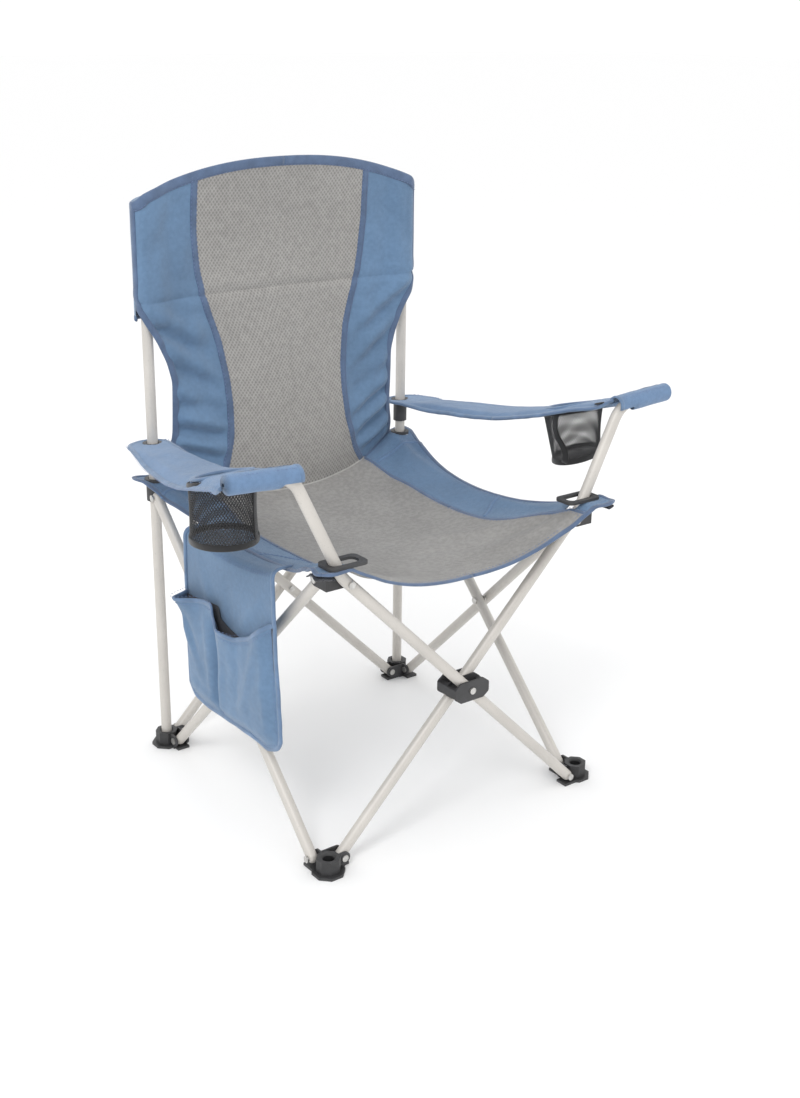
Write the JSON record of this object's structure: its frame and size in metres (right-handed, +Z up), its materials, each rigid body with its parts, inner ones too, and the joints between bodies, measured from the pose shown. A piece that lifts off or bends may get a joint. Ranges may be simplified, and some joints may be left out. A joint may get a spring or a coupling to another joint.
{
  "type": "folding camp chair",
  "caption": "Folding camp chair with a scissor frame of round tubes, a sling seat and back, fabric armrests with mesh cup holders and a side pocket.",
  "frame": {"origin": "middle of the bounding box at floor level, under the seat", "axes": "+Z up, -Y the way the sitter faces, +X the right-hand side seen from the front"},
  "size_m": [0.762, 0.524, 0.904],
  "materials": {
    "painted_tube": "satin powder coat",
    "black_plastic": "moulded",
    "zinc_rivet": "zinc plated",
    "blue_fabric": "plain woven polyester",
    "grey_mesh": "open textured mesh",
    "blue_binding": "woven tape",
    "black_mesh": "open net",
    "black_binding": "woven tape"
  },
  "bodies": {
    "rear_left_leg": {"foot_rear_left": "black_plastic", "foot_rivets_rear_left": "zinc_rivet", "rear_post_left": "painted_tube", "post_cap_left": "black_plastic", "back_panel_left": "grey_mesh"},
    "left_inner": {"side_tube_left_inner": "painted_tube", "cross_rivet_left": "zinc_rivet"},
    "left_outer": {"side_tube_left_outer": "painted_tube"},
    "front_left_corner": {"corner_bracket_left": "black_plastic", "corner_rivets_left": "zinc_rivet", "seat_grommet_front_left": "black_plastic", "side_pocket": "blue_fabric"},
    "left_arm": {"front_tube_left_arm": "painted_tube", "arm_sleeve_left": "blue_fabric"},
    "hub": {"front_hub": "black_plastic", "hub_rivet": "zinc_rivet"},
    "right_arm": {"front_tube_right_arm": "painted_tube", "arm_sleeve_right": "blue_fabric"},
    "front_left_foot": {"foot_front_left": "black_plastic", "foot_rivets_front_left": "zinc_rivet"},
    "front_right_foot": {"foot_front_right": "black_plastic", "foot_rivets_front_right": "zinc_rivet"},
    "right_inner": {"side_tube_right_inner": "painted_tube"},
    "right_outer": {"side_tube_right_outer": "painted_tube", "cross_rivet_right": "zinc_rivet"},
    "front_right_corner": {"corner_bracket_right": "black_plastic", "corner_rivets_right": "zinc_rivet", "seat_grommet_front_right": "black_plastic"},
    "rear_outer": {"rear_tube_outer": "painted_tube", "cross_rivet_rear": "zinc_rivet"},
    "rear_inner": {"rear_tube_inner": "painted_tube"},
    "rear_right_leg": {"foot_rear_right": "black_plastic", "foot_rivets_rear_right": "zinc_rivet", "rear_post_right": "painted_tube", "post_cap_right": "black_plastic", "back_panel_right": "grey_mesh"},
    "left_slider": {"slider_left": "black_plastic", "slider_rivets_left": "zinc_rivet", "seat_grommet_rear_left": "black_plastic", "stop_collar_left": "black_plastic", "arm_ring_left": "black_plastic"},
    "right_slider": {"slider_right": "black_plastic", "slider_rivets_right": "zinc_rivet", "seat_grommet_rear_right": "black_plastic", "stop_collar_right": "black_plastic", "arm_ring_right": "black_plastic"},
    "seat_front_left_fabric": {"seat_front_left": "blue_fabric"},
    "seat_rear_left_fabric": {"seat_rear_left": "blue_fabric"},
    "armrest_front_left_fabric": {"armrest_front_left": "blue_fabric", "cup_holder_left": "black_mesh"},
    "armrest_rear_left_fabric": {"armrest_rear_left": "blue_fabric"},
    "seat_front_right_fabric": {"seat_front_right": "blue_fabric"},
    "seat_rear_right_fabric": {"seat_rear_right": "blue_fabric"},
    "armrest_front_right_fabric": {"armrest_front_right": "blue_fabric", "cup_holder_right": "black_mesh"},
    "armrest_rear_right_fabric": {"armrest_rear_right": "blue_fabric"}
  },
  "joints": [
    {"name": "frame_fold", "type": "hinge", "parent": "rear_left_leg", "child": "left_inner", "pos_m": [-0.2205, 0.204, 0.014], "axis": [-1, 0, 0], "range_deg": [0, 37.11]},
    {"name": "left_scissor", "type": "hinge", "parent": "left_inner", "child": "left_outer", "pos_m": [-0.23, 0, 0.219], "axis": [1, 0, 0], "range_deg": [0, 74.22]},
    {"name": "front_left_corner_turn", "type": "hinge", "parent": "left_inner", "child": "front_left_corner", "pos_m": [-0.2205, -0.204, 0.424], "axis": [1, 0, 0], "range_deg": [0, 37.11], "deforming": ["side_pocket"]},
    {"name": "front_left_foot_turn", "type": "hinge", "parent": "left_outer", "child": "front_left_foot", "pos_m": [-0.2395, -0.204, 0.014], "axis": [-1, 0, 0], "range_deg": [0, 37.11]},
    {"name": "left_slider_turn", "type": "hinge", "parent": "left_outer", "child": "left_slider", "pos_m": [-0.2395, 0.204, 0.424], "axis": [-1, 0, 0], "range_deg": [0, 37.11]},
    {"name": "left_arm_turn", "type": "hinge", "parent": "front_left_corner", "child": "left_arm", "pos_m": [-0.204, -0.2395, 0.424], "axis": [0, 1, 0], "range_deg": [0, 37.11]},
    {"name": "front_right_foot_turn", "type": "hinge", "parent": "left_arm", "child": "front_right_foot", "pos_m": [0.204, -0.2395, 0.014], "axis": [0, -1, 0], "range_deg": [0, 37.11]},
    {"name": "hub_turn", "type": "hinge", "parent": "left_arm", "child": "hub", "pos_m": [0, -0.2395, 0.219], "axis": [0, -1, 0], "range_deg": [0, 37.11]},
    {"name": "right_arm_turn", "type": "hinge", "parent": "left_arm", "child": "right_arm", "pos_m": [0, -0.23, 0.219], "axis": [0, -1, 0], "range_deg": [0, 74.22]},
    {"name": "front_right_corner_turn", "type": "hinge", "parent": "right_arm", "child": "front_right_corner", "pos_m": [0.204, -0.2205, 0.424], "axis": [0, 1, 0], "range_deg": [0, 37.11]},
    {"name": "right_inner_turn", "type": "hinge", "parent": "front_right_foot", "child": "right_inner", "pos_m": [0.2205, -0.204, 0.014], "axis": [1, 0, 0], "range_deg": [0, 37.11]},
    {"name": "rear_outer_turn", "type": "hinge", "parent": "rear_left_leg", "child": "rear_outer", "pos_m": [-0.204, 0.2395, 0.014], "axis": [0, -1, 0], "range_deg": [0, 37.11]},
    {"name": "right_slider_turn", "type": "hinge", "parent": "rear_outer", "child": "right_slider", "pos_m": [0.204, 0.2395, 0.424], "axis": [0, 1, 0], "range_deg": [0, 37.11]},
    {"name": "rear_scissor", "type": "hinge", "parent": "rear_outer", "child": "rear_inner", "pos_m": [0, 0.23, 0.219], "axis": [0, 1, 0], "range_deg": [0, 74.22]},
    {"name": "rear_right_leg_turn", "type": "hinge", "parent": "rear_inner", "child": "rear_right_leg", "pos_m": [0.204, 0.2205, 0.014], "axis": [0, -1, 0], "range_deg": [0, 37.11], "deforming": ["back_panel_left", "back_panel_right"]},
    {"name": "right_outer_turn", "type": "hinge", "parent": "rear_right_leg", "child": "right_outer", "pos_m": [0.2395, 0.204, 0.014], "axis": [-1, 0, 0], "range_deg": [0, 37.11]},
    {"name": "seat_front_left_drop", "type": "hinge", "parent": "front_left_corner", "child": "seat_front_left_fabric", "pos_m": [-0.22, -0.2395, 0.451], "axis": [-1, 0, 0], "range_deg": [0, 72], "deforming": ["seat_front_left"]},
    {"name": "seat_rear_left_drop", "type": "hinge", "parent": "left_slider", "child": "seat_rear_left_fabric", "pos_m": [-0.23, 0.23, 0.446], "axis": [1, 0, 0], "range_deg": [0, 72], "deforming": ["seat_rear_left"]},
    {"name": "seat_front_right_drop", "type": "hinge", "parent": "front_right_corner", "child": "seat_front_right_fabric", "pos_m": [0.22, -0.2205, 0.451], "axis": [-1, 0, 0], "range_deg": [0, 72], "deforming": ["seat_front_right"]},
    {"name": "seat_rear_right_drop", "type": "hinge", "parent": "right_slider", "child": "seat_rear_right_fabric", "pos_m": [0.23, 0.23, 0.446], "axis": [1, 0, 0], "range_deg": [0, 72], "deforming": ["seat_rear_right"]},
    {"name": "armrest_front_left_drop", "type": "hinge", "parent": "left_arm", "child": "armrest_front_left_fabric", "pos_m": [-0.3305, -0.2395, 0.5845], "axis": [-0.9984, 0, 0.0574], "range_deg": [0, 88.8], "deforming": ["armrest_front_left", "cup_holder_left"]},
    {"name": "armrest_rear_left_drop", "type": "hinge", "parent": "left_slider", "child": "armrest_rear_left_fabric", "pos_m": [-0.23, 0.23, 0.499], "axis": [0.8825, -0.2223, -0.4145], "range_deg": [0, 29.8], "deforming": ["armrest_rear_left"]},
    {"name": "armrest_front_right_drop", "type": "hinge", "parent": "right_arm", "child": "armrest_front_right_fabric", "pos_m": [0.3305, -0.2205, 0.5845], "axis": [-0.9984, 0, -0.0574], "range_deg": [0, 98.3], "deforming": ["armrest_front_right", "cup_holder_right"]},
    {"name": "armrest_rear_right_drop", "type": "hinge", "parent": "right_slider", "child": "armrest_rear_right_fabric", "pos_m": [0.23, 0.23, 0.499], "axis": [0.932, 0.2222, 0.2863], "range_deg": [0, 21.7], "deforming": ["armrest_rear_right"]}
  ],
  "couplings": [
    {"joint": "left_scissor", "follows": "frame_fold", "ratio": 2},
    {"joint": "front_left_corner_turn", "follows": "frame_fold", "ratio": 1},
    {"joint": "front_left_foot_turn", "follows": "frame_fold", "ratio": 1},
    {"joint": "left_slider_turn", "follows": "frame_fold", "ratio": 1},
    {"joint": "left_arm_turn", "follows": "frame_fold", "ratio": 1},
    {"joint": "front_right_foot_turn", "follows": "frame_fold", "ratio": 1},
    {"joint": "hub_turn", "follows": "frame_fold", "ratio": 1},
    {"joint": "right_arm_turn", "follows": "frame_fold", "ratio": 2},
    {"joint": "front_right_corner_turn", "follows": "frame_fold", "ratio": 1},
    {"joint": "right_inner_turn", "follows": "frame_fold", "ratio": 1},
    {"joint": "rear_outer_turn", "follows": "frame_fold", "ratio": 1},
    {"joint": "right_slider_turn", "follows": "frame_fold", "ratio": 1},
    {"joint": "rear_scissor", "follows": "frame_fold", "ratio": 2},
    {"joint": "rear_right_leg_turn", "follows": "frame_fold", "ratio": 1},
    {"joint": "right_outer_turn", "follows": "frame_fold", "ratio": 1},
    {"joint": "seat_front_left_drop", "follows": "frame_fold", "ratio": 1.9402},
    {"joint": "seat_rear_left_drop", "follows": "frame_fold", "ratio": 1.9402},
    {"joint": "seat_front_right_drop", "follows": "frame_fold", "ratio": 1.9402},
    {"joint": "seat_rear_right_drop", "follows": "frame_fold", "ratio": 1.9402},
    {"joint": "armrest_front_left_drop", "follows": "frame_fold", "ratio": 2.3929},
    {"joint": "armrest_rear_left_drop", "follows": "frame_fold", "ratio": 0.80302},
    {"joint": "armrest_front_right_drop", "follows": "frame_fold", "ratio": 2.6489},
    {"joint": "armrest_rear_right_drop", "follows": "frame_fold", "ratio": 0.58475}
  ]
}
